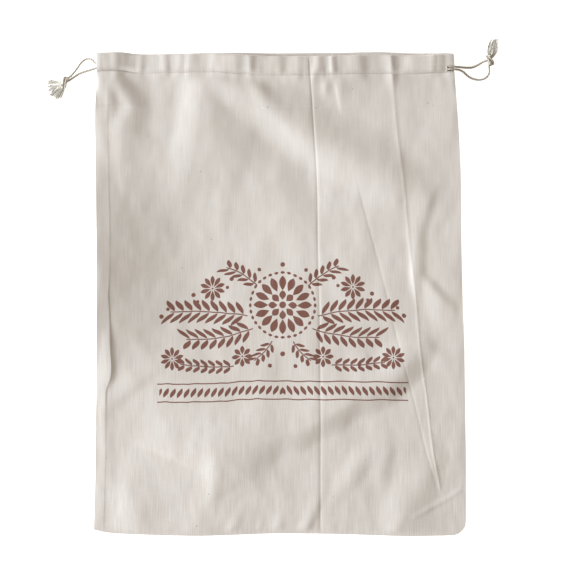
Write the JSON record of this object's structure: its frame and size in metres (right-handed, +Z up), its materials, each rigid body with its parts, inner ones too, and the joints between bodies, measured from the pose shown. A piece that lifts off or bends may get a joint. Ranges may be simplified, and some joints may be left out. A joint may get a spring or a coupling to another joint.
{
  "type": "linen bread bag",
  "caption": "Flat drawstring bread bag of natural linen lying on its back, with a hemmed casing and two knotted cords.",
  "frame": {"origin": "centre of the bag's footprint, on the surface it lies on", "axes": "+Y towards the bag's mouth, +Z up out of the front panel, +X across to the bag's right as seen from above"},
  "size_m": [0.4258, 0.4732, 0.0148],
  "materials": {
    "natural_linen": "matt plain weave",
    "cotton_cord": "matt twisted cord"
  },
  "bodies": {
    "root": {"front_panel": "natural_linen", "back_panel": "natural_linen", "left_drawcord": "cotton_cord", "right_drawcord": "cotton_cord", "left_front_strand": "cotton_cord", "left_back_strand": "cotton_cord", "right_front_strand": "cotton_cord", "right_back_strand": "cotton_cord", "left_knot": "cotton_cord", "right_knot": "cotton_cord"}
  },
  "joints": []
}
